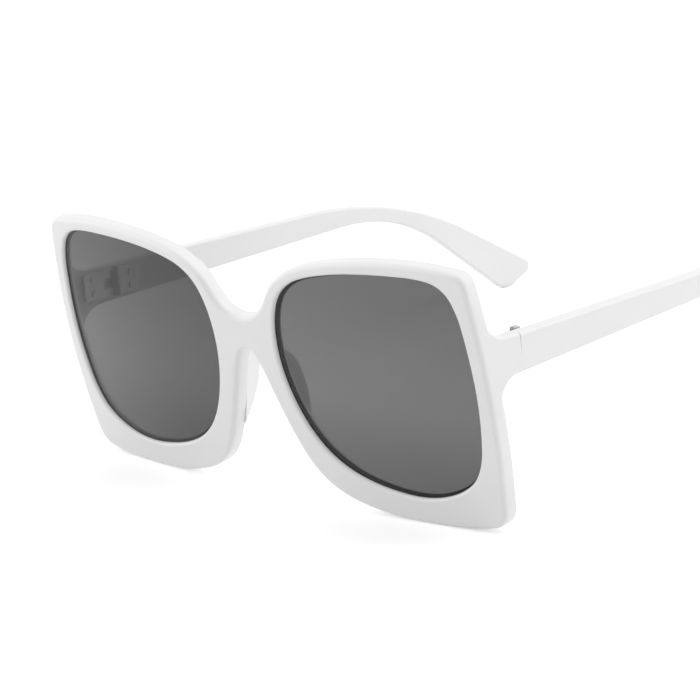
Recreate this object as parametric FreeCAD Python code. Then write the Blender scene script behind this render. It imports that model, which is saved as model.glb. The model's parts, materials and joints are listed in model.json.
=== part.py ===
import FreeCAD, Part
import math
import os

# Oversized butterfly sunglasses in millimetres, standing on the lower rims and the temple tips.
# +Z is up, the front faces -Y, the temples run back along +Y and the wearer's left side is +X.
# Most pieces are drawn in the front's own frame: its face is the XZ plane, with Y running back.

V = FreeCAD.Vector

# Lens openings and the rims around them, seen from the front
lens_width = 58.0
lens_height = 53.4
bridge_gap = 20.4
rim_top = 2.9
rim_outer = 4.0
rim_bottom = 6.7
upper_corner_radius = 3.4
lower_corner_radius = 5.5

# Depth of the front and the rounding of its edges
front_radius = 540.0
front_depth = 4.2
face_rounding = 1.3
back_chamfer = 0.6
lip_rounding = 0.8

# Lens seat
lens_recess = 0.85
lens_thickness = 2.0
tongue_setback = 0.4
tongue_thickness = 0.6
groove_depth = 0.6
rear_lip = 0.55
rear_bevel = 1.0
lens_clearance = 0.05

# Outlines as shares of the half sizes that they follow
lens_outline_shares = (
    (0.965, 0.6), (0.91, 0.8), (0.82, 0.927), (0.68, 0.981), (0.44, 0.999), (-0.45, 0.925),
    (-0.68, 0.853), (-0.845, 0.73), (-0.99, 0.24), (-0.975, -0.04), (-0.895, -0.3), (-0.76, -0.568),
    (-0.57, -0.77), (-0.02, -0.983), (0.49, -0.97), (0.85, -0.73), (0.94, -0.49))
top_edge_shares = (
    (0, 0.42), (0.062, 0.45), (0.11, 0.548), (0.152, 0.69), (0.207, 0.80), (0.303, 0.895),
    (0.469, 0.97), (0.69, 1.0), (0.855, 0.982), (0.966, 0.944))
bottom_edge_shares = (
    (0.955, -0.95), (0.83, -0.988), (0.69, -1.0), (0.525, -0.985), (0.372, -0.93), (0.256, -0.82),
    (0.18, -0.64), (0.132, -0.435), (0.088, -0.195), (0.05, 0.02), (0.025, 0.10), (0, 0.123))
side_bulge_share = 0.1

# Joint between endpiece and temple, in the front's frame, and how the temple leaves it
joint_back = 17.0
joint_height = 6.8
joint_step = 0.1
temple_pitch = 9.4
temple_convergence = 2.35
joint_gap = 0.05
endpiece_top_radius = 6.5
endpiece_low_radius = 6.0
endpiece_sink = 0.3

# Temple, seen from the side
temple_above = 4.05
temple_below = 5.0
temple_bend_reach = 99.5
temple_neck = 4.8
paddle_length = 59.5
paddle_angle = 30.2
tip_cut_length = 13.4
tip_cut_angle = 22.4
bend_top_radius = 112.0
bend_low_radius = 53.5
tip_top_radius = 2.0
tip_low_radius = 6.0

# Temple, seen from above, and its rounding
temple_thickness = 3.4
tip_thickness = 2.6
temple_rounding = 0.9
temple_inner_rounding = 0.6

# Hinge
knuckle_radius = 1.25
knuckle_clearance = 0.2
knuckle_gap = 0.1
hinge_setback = 3.75
hinge_height = 6.8
leaf_thickness = 0.9
leaf_let_in = 0.35
leaf_length = 5.8
leaf_margin = 0.2
leaf_rounding = 0.9
leaf_clearance = 0.03
hinge_screw_radius = 0.65
hinge_screw_clearance = 0.04
hinge_head_radius = 1.15
hinge_head_height = 0.65
screw_slot_width = 0.35
screw_slot_depth = 0.3
leaf_screw_radius = 0.5
leaf_screw_length = 2.4
leaf_screw_spacing = 3.4
leaf_head_radius = 0.9
leaf_head_height = 0.4

# Nose pads
pad_length = 24.0
pad_height = 5.3
pad_thickness = 3.2
pad_rounding = 1.3
pad_lean = 18.0
pad_splay = 8.0
pad_centre_out = 7.7
pad_centre_down = 6.5
pad_crest_shares = (
    (0.54, -0.4), (0.42, 0.5), (0.28, 0.93), (0.11, 1.0), (-0.07, 0.9), (-0.24, 0.64), (-0.4, 0.24), (-0.56, -0.4))

# How far cutting tools run past what they cut, and how closely curves are followed
overrun = 20.0
outline_tolerance = 0.1
match = 0.01
mesh_step = 0.02

half_width = lens_width / 2
half_height = lens_height / 2
lens_centre = bridge_gap / 2 + half_width
half_front = bridge_gap / 2 + lens_width + rim_outer
upper_reach = half_height + rim_top
lower_reach = half_height + rim_bottom
sphere_centre = V(0, front_radius, 0)


def outline_arcs(points, closed):
    """A smooth curve through the points, as arcs that run on into each other."""
    curve = Part.BSplineCurve()
    curve.interpolate(Points=points, PeriodicFlag=closed)
    return [arc.toShape() for arc in curve.toBiArcs(outline_tolerance)]


def place(frame, shape):
    moved = shape.copy()
    moved.Placement = frame.multiply(moved.Placement)
    return moved


def mirrored(shape):
    return shape.mirror(V(0, 0, 0), V(1, 0, 0))


def block(x_range, y_range, z_range):
    low = V(x_range[0], y_range[0], z_range[0])
    return Part.makeBox(x_range[1] - x_range[0], y_range[1] - y_range[0], z_range[1] - z_range[0], low)


def ball(depth):
    """Everything behind a surface that lies this deep behind the front's face."""
    return Part.makeSphere(front_radius - depth, sphere_centre)


def depth_behind_face(point):
    return front_radius - point.distanceToPoint(sphere_centre)


def middle(edge):
    return edge.valueAt((edge.FirstParameter + edge.LastParameter) / 2)


def edges_at_depth(shape, depth, openings, in_openings):
    """Edges this deep behind the face, either round the lens openings or round the outside."""
    found = [edge for edge in shape.Edges if abs(depth_behind_face(middle(edge)) - depth) < match]
    return [edge for edge in found
            if any(tool.isInside(middle(edge), match, True) for tool in openings) == in_openings]


def prism(edges):
    """Runs an outline of the front from before its face to behind its endpieces."""
    tool = Part.Face(Part.Wire(Part.__sortEdges__(edges))).extrude(V(0, joint_back + 2 * overrun, 0))
    tool.translate(V(0, -overrun, 0))
    return tool


def rounded_outline(corners):
    """Closed wire through (point, radius) corners, with a tangent arc where the radius isn't zero."""
    ends = []
    for index, (corner, radius) in enumerate(corners):
        back = (corners[index - 1][0] - corner).normalize()
        ahead = (corners[(index + 1) % len(corners)][0] - corner).normalize()
        if radius == 0:
            ends.append((corner, corner, None))
            continue
        half_angle = back.getAngle(ahead) / 2
        reach = radius / math.tan(half_angle)
        inward = (back + ahead).normalize()
        on_arc = corner + inward * (radius / math.sin(half_angle) - radius)
        ends.append((corner + back * reach, corner + ahead * reach, on_arc))
    edges = []
    for index, (start, end, on_arc) in enumerate(ends):
        before = ends[index - 1][1]
        if before.distanceToPoint(start) > match:
            edges.append(Part.LineSegment(before, start).toShape())
        if on_arc is not None:
            edges.append(Part.Arc(start, on_arc, end).toShape())
    return Part.Wire(edges)


def lens_prism(grow):
    points = [V(lens_centre + x_share * (half_width + grow), 0, z_share * (half_height + grow))
              for x_share, z_share in lens_outline_shares]
    return prism(outline_arcs(points, True))


def half_edge(shares, reach):
    return [V(x_share * half_front, 0, z_share * reach) for x_share, z_share in shares]


def front_prism():
    """The front's outline as a bar: smooth top and bottom edges, bowed sides, four rounded corners."""
    top = half_edge(top_edge_shares, upper_reach)
    bottom = half_edge(bottom_edge_shares, lower_reach)
    left_top = [V(-point.x, 0, point.z) for point in top[:0:-1]]
    whole_bottom = bottom + [V(-point.x, 0, point.z) for point in bottom[-2::-1]]
    bulge = V(half_front, 0, side_bulge_share * upper_reach)
    left_bulge = V(-bulge.x, 0, bulge.z)
    sides = [
        Part.Arc(top[-1], bulge, bottom[0]).toShape(),
        Part.Arc(whole_bottom[-1], left_bulge, left_top[0]).toShape()]
    bar = prism(outline_arcs(left_top + top, False) + outline_arcs(whole_bottom, False) + sides)
    for corner, radius in ((top[-1], upper_corner_radius), (bottom[0], lower_corner_radius)):
        at_corner = [edge for edge in bar.Edges
                     if abs(abs(middle(edge).x) - corner.x) < match and abs(middle(edge).z - corner.z) < match]
        bar = bar.makeFillet(radius, at_corner)
    return bar


def joint_frame():
    """The temple's frame at the joint: X outward from the outer face, Y along the temple, Z up."""
    turn = FreeCAD.Rotation(V(0, 0, 1), temple_convergence)
    pitch = FreeCAD.Rotation(V(1, 0, 0), -temple_pitch)
    return FreeCAD.Placement(V(half_front - joint_step, joint_back, joint_height), turn.multiply(pitch))


def hinge_frame():
    """The hinge's frame: its Z axis is the axis of the hinge screw."""
    to_axis = V(-temple_thickness - knuckle_radius - knuckle_clearance, hinge_setback, 0)
    return joint_frame().multiply(FreeCAD.Placement(to_axis, FreeCAD.Rotation()))


def endpiece(outline):
    """The arm from the rim back to the joint, flared where it leaves the rim."""
    slope = math.tan(math.radians(temple_pitch))
    upright = math.cos(math.radians(temple_pitch))
    inner_face = half_front - temple_thickness
    rim_back = front_radius - math.sqrt((front_radius - front_depth) ** 2 - inner_face ** 2) - endpiece_sink
    root = rim_back - front_depth / 2
    past_joint = joint_back + overrun

    def height(y, offset):
        return joint_height + offset / upright - (y - joint_back) * slope

    top = V(0, rim_back, height(rim_back, temple_above))
    low = V(0, rim_back, height(rim_back, -temple_below))
    half_turn = math.radians(temple_pitch) / 2
    flare_top = top.z + endpiece_top_radius / math.tan(math.pi / 4 + half_turn)
    flare_low = low.z - endpiece_low_radius / math.tan(math.pi / 4 - half_turn)
    side = rounded_outline([
        (V(0, root, flare_top), 0),
        (V(0, rim_back, flare_top), 0),
        (top, endpiece_top_radius),
        (V(0, past_joint, height(past_joint, temple_above)), 0),
        (V(0, past_joint, height(past_joint, -temple_below)), 0),
        (low, endpiece_low_radius),
        (V(0, rim_back, flare_low), 0),
        (V(0, root, flare_low), 0)])
    frame = joint_frame()
    keep = block((-temple_thickness, overrun), (-2 * overrun, 0), (-2 * overrun, 2 * overrun))
    arm = Part.Face(side).extrude(V(2 * half_front, 0, 0)).common(outline)
    arm = arm.common(place(frame, keep)).Solids[0]
    to_joint = frame.inverse()
    outer_edges = []
    for edge in arm.Edges:
        centre = to_joint.multVec(middle(edge))
        runs_back = abs(edge.Vertexes[0].Y - edge.Vertexes[-1].Y) > match
        above_root = middle(edge).y > rim_back
        if runs_back and above_root and centre.y < -match and centre.x > -temple_thickness / 2:
            outer_edges.append(edge)
    return arm.makeFillet(temple_rounding, outer_edges)


def front_frame():
    """Rims and bridge as one curved plate, with a seat and a groove for each lens and both endpieces."""
    outline = front_prism()
    opening = lens_prism(0)
    openings = [opening, mirrored(opening)]
    seat_depth = lens_recess + lens_thickness + lens_clearance
    seats = [tool.cut(ball(seat_depth)) for tool in openings]
    behind_lens = lens_prism(-rear_lip)
    front = outline.common(ball(0)).cut(ball(front_depth))
    front = front.cut(seats + [behind_lens, mirrored(behind_lens)]).Solids[0]
    front = front.makeFillet(face_rounding, edges_at_depth(front, 0, openings, False))
    front = front.makeFillet(lip_rounding, edges_at_depth(front, 0, openings, True))
    for bevel, in_openings in ((back_chamfer, False), (rear_bevel, True)):
        front = front.makeChamfer(bevel, edges_at_depth(front, front_depth, openings, in_openings))
    arm = endpiece(outline)
    front = front.fuse([arm, mirrored(arm)])
    tongue_front = lens_recess + tongue_setback
    groove = lens_slice(groove_depth + lens_clearance, tongue_front - lens_clearance,
                        tongue_front + tongue_thickness + lens_clearance)
    cuts = [groove, mirrored(groove)]
    for tool in leaf_seat(-1) + leaf_screw_holes(-1):
        in_place = place(hinge_frame(), tool)
        cuts += [in_place, mirrored(in_place)]
    return front.cut(cuts).Solids[0]


def lens_slice(grow, start, end):
    """What the lens outline takes in between two depths behind the face."""
    return lens_prism(grow).common(ball(start)).cut(ball(end))


def lens():
    """A lens that fills its opening, with a tongue all round that sits in the rim's groove."""
    body = lens_slice(-lens_clearance, lens_recess, lens_recess + lens_thickness)
    tongue_front = lens_recess + tongue_setback
    tongue = lens_slice(groove_depth, tongue_front, tongue_front + tongue_thickness)
    return body.fuse(tongue).removeSplitter().Solids[0]


def nose_pad(front):
    """A fin that sits on the rim's nose edge, with a rounded crest that is highest near its upper end."""
    crest = [V(0, front_depth + height_share * pad_height, length_share * pad_length)
             for length_share, height_share in pad_crest_shares]
    root = Part.LineSegment(crest[-1], crest[0]).toShape()
    fin = Part.Face(Part.Wire(outline_arcs(crest, False) + [root])).extrude(V(pad_thickness, 0, 0))
    fin.translate(V(-pad_thickness / 2, 0, 0))
    sides = [edge for edge in fin.Edges if abs(abs(middle(edge).x) - pad_thickness / 2) < match]
    root_middle = middle(root)
    along_crest = [edge for edge in sides
                   if math.hypot(middle(edge).y - root_middle.y, middle(edge).z - root_middle.z) > match]
    fin = fin.makeFillet(pad_rounding, along_crest)
    lean = FreeCAD.Rotation(V(0, 1, 0), -pad_lean)
    splay = FreeCAD.Rotation(V(0, 0, 1), -pad_splay)
    centre = V(pad_centre_out, 0, -pad_centre_down)
    fin = place(FreeCAD.Placement(centre, lean.multiply(splay)), fin)
    fin = fin.common(ball(front_depth - back_chamfer))
    return max(fin.cut(front).Solids, key=lambda solid: solid.Volume)


def temple():
    """Straight, then bent down to a paddle with a slanted tip, thinning along its whole length."""
    along = V(0, math.cos(math.radians(paddle_angle)), -math.sin(math.radians(paddle_angle)))
    back_down = V(0, -math.cos(math.radians(tip_cut_angle)), -math.sin(math.radians(tip_cut_angle)))
    bend = V(0, temple_bend_reach, temple_above)
    tip_top = bend + along * paddle_length
    tip_low = tip_top + back_down * tip_cut_length
    side = rounded_outline([
        (V(0, joint_gap, temple_above), 0),
        (bend, bend_top_radius),
        (tip_top, tip_top_radius),
        (tip_low, tip_low_radius),
        (bend - V(0, 0, temple_neck), bend_low_radius),
        (V(0, joint_gap, -temple_below), 0)])
    taper = (temple_thickness - tip_thickness) / (tip_top.y - joint_gap)

    def inner_face(y):
        return taper * (y - joint_gap) - temple_thickness

    past_tip = tip_top.y + overrun
    wedge = Part.Face(Part.makePolygon([
        V(inner_face(0), 0, -past_tip), V(inner_face(past_tip), past_tip, -past_tip),
        V(-temple_thickness - overrun, past_tip, -past_tip), V(-temple_thickness - overrun, 0, -past_tip),
        V(inner_face(0), 0, -past_tip)]))
    bar = Part.Face(side).extrude(V(-temple_thickness, 0, 0))
    bar = bar.cut(wedge.extrude(V(0, 0, 2 * past_tip))).Solids[0]
    behind_joint = [edge for edge in bar.Edges if middle(edge).y > joint_gap + match]
    outer_edges = [edge for edge in behind_joint if abs(middle(edge).x) < match]
    bar = bar.makeFillet(temple_rounding, outer_edges)
    behind_joint = [edge for edge in bar.Edges if middle(edge).y > joint_gap + match]
    inner_edges = [edge for edge in behind_joint
                   if abs(middle(edge).x - inner_face(middle(edge).y)) < match]
    bar = place(joint_frame(), bar.makeFillet(temple_inner_rounding, inner_edges))
    return bar.cut([place(hinge_frame(), tool) for tool in leaf_seat(1) + leaf_screw_holes(1)]).Solids[0]


def leaf_spans(side):
    """Where a leaf's plate starts and ends along the hinge frame's Y, seen from the hinge axis."""
    if side < 0:
        near = hinge_setback + leaf_margin
    else:
        near = knuckle_radius + knuckle_clearance + leaf_margin
    return near, near + leaf_length


def plate_outline(side, x, grow):
    near, far = leaf_spans(side)
    half = hinge_height / 2 + grow
    corners = [
        (V(x, side * (near - grow), half), 0),
        (V(x, side * (far + grow), half), leaf_rounding + grow),
        (V(x, side * (far + grow), -half), leaf_rounding + grow),
        (V(x, side * (near - grow), -half), 0)]
    return Part.Face(rounded_outline(corners))


def leaf_seat(side):
    """The pocket that a leaf's plate is let into."""
    wall = knuckle_radius + knuckle_clearance
    depth = leaf_let_in + leaf_clearance
    return [plate_outline(side, wall - depth, leaf_clearance).extrude(V(2 * depth, 0, 0))]


def leaf_screw_places(side):
    near, far = leaf_spans(side)
    return [V(knuckle_radius - leaf_thickness, side * (near + far) / 2, sign * leaf_screw_spacing / 2)
            for sign in (1, -1)]


def leaf_screw_holes(side):
    """Holes for both screws of a leaf, through the plate and on into the plastic."""
    length = leaf_screw_length + leaf_clearance
    return [Part.makeCylinder(leaf_screw_radius + leaf_clearance, length, point, V(1, 0, 0))
            for point in leaf_screw_places(side)]


def leaf_screws(side):
    screws = []
    for point in leaf_screw_places(side):
        shank = Part.makeCylinder(leaf_screw_radius, leaf_screw_length, point, V(1, 0, 0))
        head = Part.makeCylinder(leaf_head_radius, leaf_head_height, point, V(-1, 0, 0))
        screws.append(shank.fuse(head).removeSplitter())
    return Part.makeCompound(screws)


def knuckle_spans():
    """Heights of the three knuckles: the outer two belong to the front, the middle one to the temple."""
    half = hinge_height / 2
    third = hinge_height / 3
    outer_start = half - third + knuckle_gap / 2
    inner_end = half - third - knuckle_gap / 2
    return [(outer_start, half), (-half, -outer_start)], [(-inner_end, inner_end)]


def leaf(side):
    """A hinge leaf: a plate let into the plastic, with arms that end in knuckles round the axis."""
    inner = knuckle_radius - leaf_thickness
    outer = knuckle_radius + knuckle_clearance + leaf_let_in
    near, far = leaf_spans(side)
    shape = plate_outline(side, inner, 0).extrude(V(outer - inner, 0, 0))
    front_knuckles, temple_knuckles = knuckle_spans()
    for span in front_knuckles if side < 0 else temple_knuckles:
        reach = sorted((0, side * (near + leaf_margin)))
        arm = block((inner, knuckle_radius), reach, span)
        knuckle = Part.makeCylinder(knuckle_radius, span[1] - span[0], V(0, 0, span[0]))
        shape = shape.fuse([arm, knuckle])
    bore_radius = hinge_screw_radius + hinge_screw_clearance
    bore = Part.makeCylinder(bore_radius, 2 * hinge_height, V(0, 0, -hinge_height))
    return shape.cut([bore] + leaf_screw_holes(side)).removeSplitter().Solids[0]


def hinge_screw():
    """The hinge's axle: a plain shank with a slotted head on the upper knuckle."""
    half = hinge_height / 2
    shank = Part.makeCylinder(hinge_screw_radius, hinge_height, V(0, 0, -half))
    head = Part.makeCylinder(hinge_head_radius, hinge_head_height, V(0, 0, half))
    top = half + hinge_head_height
    slot = block((-screw_slot_width / 2, screw_slot_width / 2), (-knuckle_radius, knuckle_radius),
                 (top - screw_slot_depth, top + screw_slot_depth))
    return shank.fuse(head).cut(slot).removeSplitter().Solids[0]


def lowest(points, angle):
    """Height of the lowest point once the glasses are tipped forward by the angle."""
    return min(math.sin(angle) * point.y + math.cos(angle) * point.z for point in points)


def standing(front, left_temple):
    """The placement that stands the glasses on the rims and the temple tips, about their own middle."""
    front_points = front.tessellate(mesh_step)[0]
    temple_points = left_temple.tessellate(mesh_step)[0]
    flat, steep = 0, math.radians(2 * temple_pitch)
    while steep - flat > match / front_radius / front_radius:
        angle = (flat + steep) / 2
        if lowest(temple_points, angle) < lowest(front_points, angle):
            flat = angle
        else:
            steep = angle
    reaches = [math.cos(angle) * point.y - math.sin(angle) * point.z for point in front_points + temple_points]
    shift = V(0, -(min(reaches) + max(reaches)) / 2, -lowest(front_points, angle))
    return FreeCAD.Placement(shift, FreeCAD.Rotation(V(1, 0, 0), math.degrees(angle)))


def build():
    front = front_frame()
    temple_shape = temple()
    left_pieces = {
        "lens": lens(),
        "nose_pad": nose_pad(front),
        "temple": temple_shape,
        "hinge_screw": place(hinge_frame(), hinge_screw())}
    for name, side in (("front_leaf", -1), ("temple_leaf", 1)):
        left_pieces[name] = place(hinge_frame(), leaf(side))
        left_pieces[name + "_screws"] = place(hinge_frame(), leaf_screws(side))
    stand = standing(front, temple_shape)
    pieces = {"front_frame": front}
    for name, shape in left_pieces.items():
        pieces["left_" + name] = shape
        pieces["right_" + name] = mirrored(shape)
    os.makedirs("parts", exist_ok=True)
    for name, shape in pieces.items():
        place(stand, shape).exportStep("parts/" + name + ".step")
    axle = stand.multiply(hinge_frame())
    print("left hinge at", axle.Base, "axis", axle.Rotation.multVec(V(0, 0, 1)))
    print("face centre at", stand.Base, "tipped by", math.degrees(stand.Rotation.Angle))


build()
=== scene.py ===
import bpy
import json
import math
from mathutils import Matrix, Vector

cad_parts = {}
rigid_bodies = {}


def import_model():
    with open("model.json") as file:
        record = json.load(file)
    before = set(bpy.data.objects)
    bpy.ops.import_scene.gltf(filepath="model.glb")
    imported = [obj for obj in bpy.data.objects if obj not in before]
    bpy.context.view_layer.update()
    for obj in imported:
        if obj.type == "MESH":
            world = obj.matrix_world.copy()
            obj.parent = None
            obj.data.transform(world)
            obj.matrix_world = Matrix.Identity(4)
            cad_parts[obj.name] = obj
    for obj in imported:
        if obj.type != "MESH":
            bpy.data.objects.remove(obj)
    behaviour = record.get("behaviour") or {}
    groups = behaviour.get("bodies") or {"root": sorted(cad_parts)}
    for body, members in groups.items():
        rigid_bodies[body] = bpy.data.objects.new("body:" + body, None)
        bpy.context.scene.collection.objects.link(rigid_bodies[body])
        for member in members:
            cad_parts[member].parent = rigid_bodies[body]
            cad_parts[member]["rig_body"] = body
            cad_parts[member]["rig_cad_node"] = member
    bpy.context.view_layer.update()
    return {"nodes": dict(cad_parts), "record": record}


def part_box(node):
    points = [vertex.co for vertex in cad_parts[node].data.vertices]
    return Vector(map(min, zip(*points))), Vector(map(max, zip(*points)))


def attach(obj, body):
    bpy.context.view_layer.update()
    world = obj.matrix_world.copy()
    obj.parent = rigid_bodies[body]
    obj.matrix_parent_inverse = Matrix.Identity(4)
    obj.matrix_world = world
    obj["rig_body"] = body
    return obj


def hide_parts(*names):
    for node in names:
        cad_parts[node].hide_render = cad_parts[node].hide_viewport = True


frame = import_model()

# Camera of the photograph: metres and degrees in the part's frame, lens and sensor in millimetres
camera_place = (0.53115, -0.53206, 0.24519)
camera_turn = (72.9634, 7.5184, 45.3845)
camera_lens = 162.27
sensor_width = 36.0
nearest_seen = 0.01

# Light, so that a colour renders about as it is written: each lamp's name, place, width and watts
room_strength = 0.55
backdrop_strength = 1.0
lamps = (
    ("top_light", (0.15, 0.25, 1.1), 1.3, 5.7),
    ("left_light", (-0.8, -0.55, 0.42), 1.0, 3.9),
    ("back_light", (0.85, 0.85, 0.38), 1.2, 5.4))

# Floor
floor_size = 2.4
floor_white = 0.9
floor_roughness = 0.9
floor_glow = 0.38

# White plastic of the frame and the pads: whiteness (the pads' extra whiteness is painted light), faint
# clouds, polish, and a grain in metres
frame_white = 0.864
# Painted light: the pads are the frame's plastic made whiter, standing in for light on their sides
pad_painted_light_white = 0.94
white_spread = 0.02
cloud_scale = 60.0
cloud_detail = 3.0
cloud_range = (0.3, 0.7)
plastic_roughness = (0.26, 0.34)
plastic_grain_scale = 900.0
plastic_grain_strength = 0.03
plastic_grain_height = 0.0002

# Smoke glass of the lenses: absorption per metre, and painted shade of the shadowed floor seen through
# them, as what passes at shares of the height and width
smoke_density = 830.0
smoke_colour = (0.0, 0.0, 0.004)
# Painted shade of the shadowed floor seen through the glass: darker towards the bottom and the top, and
# towards the nose side of the right lens
lens_painted_shade_up = ((0.0, 0.71), (0.43, 0.98), (1.0, 0.78))
lens_painted_shade_across = ((0.0, 0.98), (0.13, 0.78), (0.26, 0.64), (0.43, 0.55), (0.57, 1.0), (1.0, 0.86))
lens_roughness = 0.01
lens_ior = 1.5
lens_mirror = (0.4, 0.4, 0.4)

# Ground edge of the lenses, on the faces that are turned away from front and back: near black for the
# tint seen edge-on and for painted shade of the groove it sits in
edge_tint_and_shade_dark = (0.006, 0.006, 0.007)
edge_tint_and_shade_light = (0.014, 0.014, 0.015)
edge_grind_scale = 1500.0
edge_roughness = 0.6
edge_facing = 0.5

# Steel of the hinges
steel_colour = (0.62, 0.62, 0.63)
steel_roughness = (0.42, 0.62)
brush_scale = 400.0
brush_stretch = (1.0, 1.0, 30.0)

# Smoothing angles of the surfaces in degrees, and the distance in metres within which corners weld
plastic_angle = 50.0
metal_angle = 35.0
weld_distance = 1e-6


def select_only(piece):
    bpy.ops.object.select_all(action="DESELECT")
    piece.select_set(True)
    bpy.context.view_layer.objects.active = piece


def finished_copy(node, angle, material):
    """A welded copy of a solid with smooth surfaces and crisp edges, which stands for that solid."""
    source = frame["nodes"][node]
    piece = source.copy()
    piece.data = source.data.copy()
    piece.name = node + "_finished"
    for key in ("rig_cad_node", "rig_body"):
        if key in piece:
            del piece[key]
    piece.parent = None
    bpy.context.scene.collection.objects.link(piece)
    select_only(piece)
    bpy.ops.mesh.customdata_custom_splitnormals_clear()
    bpy.ops.object.mode_set(mode="EDIT")
    bpy.ops.mesh.select_all(action="SELECT")
    bpy.ops.mesh.remove_doubles(threshold=weld_distance)
    bpy.ops.object.mode_set(mode="OBJECT")
    bpy.ops.object.shade_smooth_by_angle(angle=math.radians(angle))
    even = piece.modifiers.new("even_shading", "WEIGHTED_NORMAL")
    even.keep_sharp = True
    bpy.ops.object.modifier_apply(modifier=even.name)
    piece.data.materials.clear()
    piece.data.materials.append(material)
    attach(piece, source["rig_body"])
    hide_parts(node)
    return piece


def new_material(name):
    material = bpy.data.materials.new(name)
    material.use_nodes = True
    nodes = material.node_tree.nodes
    return material, nodes, material.node_tree.links, nodes["Principled BSDF"]


def opaque(colour):
    return (*colour, 1.0)


def grey(level):
    return opaque((level, level, level))


def colour_ramp(nodes, stops, blend="LINEAR"):
    """A ramp through (position, colour) stops."""
    node = nodes.new("ShaderNodeValToRGB")
    ramp = node.color_ramp
    ramp.interpolation = blend
    while len(ramp.elements) < len(stops):
        ramp.elements.new(1.0)
    for element, (position, colour) in zip(ramp.elements, stops):
        element.position = position
        element.color = colour
    return node


def uneven_polish(nodes, links, shader, noise, roughness):
    """Lets the shader's roughness follow a noise between two levels."""
    polish = nodes.new("ShaderNodeMapRange")
    smoothest, roughest = roughness
    polish.inputs["To Min"].default_value = smoothest
    polish.inputs["To Max"].default_value = roughest
    links.new(noise.outputs["Fac"], polish.inputs["Value"])
    links.new(polish.outputs["Result"], shader.inputs["Roughness"])


def white_plastic(name, white):
    """Glossy white moulded plastic: a faint unevenness in its colour, polish and surface."""
    material, nodes, links, shader = new_material(name)
    place = nodes.new("ShaderNodeTexCoord")
    cloud = nodes.new("ShaderNodeTexNoise")
    cloud.inputs["Scale"].default_value = cloud_scale
    cloud.inputs["Detail"].default_value = cloud_detail
    low, high = cloud_range
    tone = colour_ramp(nodes, [(low, grey(white - white_spread)), (high, grey(white))])
    grain = nodes.new("ShaderNodeTexNoise")
    grain.inputs["Scale"].default_value = plastic_grain_scale
    bump = nodes.new("ShaderNodeBump")
    bump.inputs["Strength"].default_value = plastic_grain_strength
    bump.inputs["Distance"].default_value = plastic_grain_height
    links.new(place.outputs["Object"], cloud.inputs["Vector"])
    links.new(place.outputs["Object"], grain.inputs["Vector"])
    links.new(cloud.outputs["Fac"], tone.inputs["Fac"])
    links.new(grain.outputs["Fac"], bump.inputs["Height"])
    links.new(tone.outputs["Color"], shader.inputs["Base Color"])
    links.new(bump.outputs["Normal"], shader.inputs["Normal"])
    uneven_polish(nodes, links, shader, cloud, plastic_roughness)
    return material


def smoke_lens():
    """Grey smoke glass: a tint through its thickness, and painted shade of the floor seen through it,
    graded over its height and across both lenses.
    """
    material, nodes, links, shader = new_material("smoke_lens")
    place = nodes.new("ShaderNodeTexCoord")
    axes = nodes.new("ShaderNodeSeparateXYZ")
    links.new(place.outputs["Object"], axes.inputs["Vector"])
    right_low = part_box("right_lens")[0]
    left_low, left_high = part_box("left_lens")
    painted_shade_tints = []
    # Both ramps are painted shade of the shadowed floor seen through the lenses
    for axis, start, end, stops, blend in (
            ("Z", left_low.z, left_high.z, lens_painted_shade_up, "EASE"),
            ("X", right_low.x, left_high.x, lens_painted_shade_across, "LINEAR")):
        share = nodes.new("ShaderNodeMapRange")
        share.inputs["From Min"].default_value = start
        share.inputs["From Max"].default_value = end
        tint = colour_ramp(nodes, [(position, grey(level)) for position, level in stops], blend)
        links.new(axes.outputs[axis], share.inputs["Value"])
        links.new(share.outputs["Result"], tint.inputs["Fac"])
        painted_shade_tints.append(tint.outputs["Color"])
    both = nodes.new("ShaderNodeMix")
    both.data_type = "RGBA"
    both.blend_type = "MULTIPLY"
    both.inputs["Factor"].default_value = 1.0
    links.new(painted_shade_tints[0], both.inputs["A"])
    links.new(painted_shade_tints[1], both.inputs["B"])
    links.new(both.outputs["Result"], shader.inputs["Base Color"])
    smoke = nodes.new("ShaderNodeVolumeAbsorption")
    smoke.inputs["Color"].default_value = opaque(smoke_colour)
    smoke.inputs["Density"].default_value = smoke_density
    links.new(smoke.outputs["Volume"], nodes["Material Output"].inputs["Volume"])
    shader.inputs["Roughness"].default_value = lens_roughness
    shader.inputs["IOR"].default_value = lens_ior
    shader.inputs["Specular Tint"].default_value = opaque(lens_mirror)
    shader.inputs["Transmission Weight"].default_value = 1.0
    return material


def lens_edge_tint_and_shade():
    """The ground edge of a lens, nearly black: partly the tint seen edge-on, partly painted shade of the
    groove.
    """
    material, nodes, links, shader = new_material("lens_edge_tint_and_shade")
    place = nodes.new("ShaderNodeTexCoord")
    grind = nodes.new("ShaderNodeTexNoise")
    grind.inputs["Scale"].default_value = edge_grind_scale
    tone = colour_ramp(nodes, [(0.0, opaque(edge_tint_and_shade_dark)), (1.0, opaque(edge_tint_and_shade_light))])
    links.new(place.outputs["Object"], grind.inputs["Vector"])
    links.new(grind.outputs["Fac"], tone.inputs["Fac"])
    links.new(tone.outputs["Color"], shader.inputs["Base Color"])
    shader.inputs["Roughness"].default_value = edge_roughness
    shader.inputs["Specular IOR Level"].default_value = 0.0
    return material


def darken_edge(piece, material):
    """Gives the faces round a lens's outline the near-black edge finish, which is partly painted shade of
    the groove.
    """
    piece.data.materials.append(material)
    for face in piece.data.polygons:
        if abs(face.normal.y) < edge_facing:
            face.material_index = 1


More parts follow.
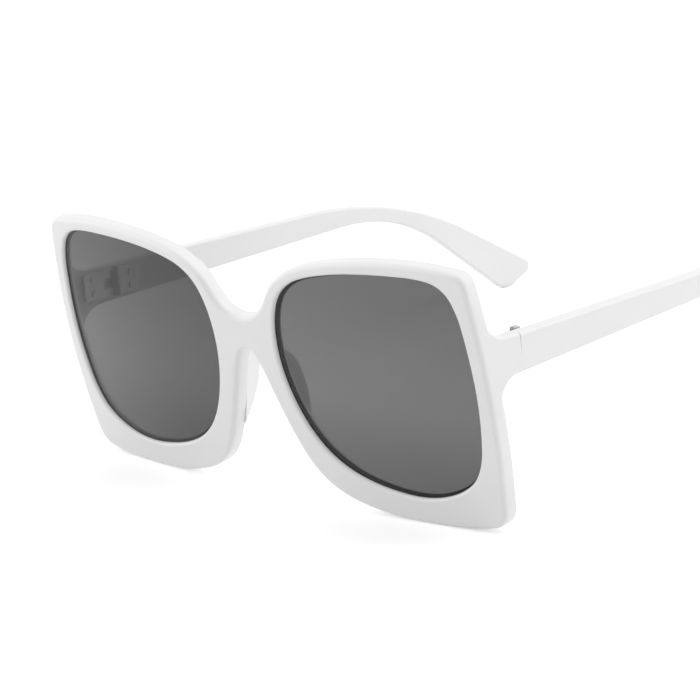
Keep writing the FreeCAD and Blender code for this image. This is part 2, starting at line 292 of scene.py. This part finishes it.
def hinge_steel():
    """Plain satin steel with fine brush lines."""
    material, nodes, links, shader = new_material("hinge_steel")
    place = nodes.new("ShaderNodeTexCoord")
    stretch = nodes.new("ShaderNodeMapping")
    stretch.inputs["Scale"].default_value = brush_stretch
    lines = nodes.new("ShaderNodeTexNoise")
    lines.inputs["Scale"].default_value = brush_scale
    links.new(place.outputs["Object"], stretch.inputs["Vector"])
    links.new(stretch.outputs["Vector"], lines.inputs["Vector"])
    uneven_polish(nodes, links, shader, lines, steel_roughness)
    shader.inputs["Base Color"].default_value = opaque(steel_colour)
    shader.inputs["Metallic"].default_value = 1.0
    return material


def seen_directly(nodes, links):
    """One for what is seen, straight, mirrored or through a lens, and zero for what lights the object."""
    path = nodes.new("ShaderNodeLightPath")
    mirrored = nodes.new("ShaderNodeMath")
    mirrored.operation = "MAXIMUM"
    through = nodes.new("ShaderNodeMath")
    through.operation = "MAXIMUM"
    links.new(path.outputs["Is Camera Ray"], mirrored.inputs[0])
    links.new(path.outputs["Is Glossy Ray"], mirrored.inputs[1])
    links.new(mirrored.outputs["Value"], through.inputs[0])
    links.new(path.outputs["Is Transmission Ray"], through.inputs[1])
    return through.outputs["Value"]


def pale_floor():
    """A white floor that glows a little to the eye, so that it is white but keeps the shadow."""
    bpy.ops.object.select_all(action="DESELECT")
    bpy.ops.mesh.primitive_plane_add(size=floor_size)
    floor = bpy.context.object
    floor.name = "floor"
    material, nodes, links, shader = new_material("floor_white")
    shader.inputs["Base Color"].default_value = grey(floor_white)
    shader.inputs["Roughness"].default_value = floor_roughness
    shader.inputs["Specular IOR Level"].default_value = 0.0
    glow = nodes.new("ShaderNodeMath")
    glow.operation = "MULTIPLY"
    glow.inputs[1].default_value = floor_glow
    links.new(seen_directly(nodes, links), glow.inputs[0])
    shader.inputs["Emission Color"].default_value = grey(1.0)
    links.new(glow.outputs["Value"], shader.inputs["Emission Strength"])
    floor.data.materials.append(material)


def studio_light():
    """Even white room light and three large soft lamps: overhead, at the left and behind at the right."""
    world = bpy.data.worlds.new("studio")
    bpy.context.scene.world = world
    world.use_nodes = True
    nodes = world.node_tree.nodes
    links = world.node_tree.links
    background = nodes["Background"]
    background.inputs["Color"].default_value = grey(1.0)
    level = nodes.new("ShaderNodeMapRange")
    level.inputs["To Min"].default_value = room_strength
    level.inputs["To Max"].default_value = backdrop_strength
    links.new(seen_directly(nodes, links), level.inputs["Value"])
    links.new(level.outputs["Result"], background.inputs["Strength"])
    for name, place, width, watts in lamps:
        bpy.ops.object.light_add(type="AREA", location=place)
        lamp = bpy.context.object
        lamp.name = name
        lamp.data.size = width
        lamp.data.energy = watts
        lamp.rotation_euler = (-Vector(place)).to_track_quat("-Z", "Y").to_euler()


def photo_camera():
    turn = [math.radians(angle) for angle in camera_turn]
    bpy.ops.object.camera_add(location=camera_place, rotation=turn)
    camera = bpy.context.object
    camera.name = "photo_camera"
    camera.data.sensor_width = sensor_width
    camera.data.lens = camera_lens
    camera.data.clip_start = nearest_seen
    bpy.context.scene.camera = camera


lens_glass = smoke_lens()
edge_tint_and_shade_finish = lens_edge_tint_and_shade()
finishes = {
    "white_frame": (white_plastic("frame_plastic", frame_white), plastic_angle),
    # The pads get the frame plastic made whiter: painted light
    "white_pad": (white_plastic("pad_plastic_painted_light", pad_painted_light_white), plastic_angle),
    "smoke_lens": (lens_glass, plastic_angle),
    "hinge_metal": (hinge_steel(), metal_angle)}
for subpart in frame["record"]["subparts"]:
    slot = subpart["material_slot"]
    finish, angle = finishes[slot]
    piece = finished_copy(subpart["node"], angle, finish)
    # Lens edges go near black: partly their tint, partly painted shade of the groove
    if finish is lens_glass:
        darken_edge(piece, edge_tint_and_shade_finish)
pale_floor()
studio_light()
photo_camera()
bpy.context.scene.view_settings.view_transform = "Standard"
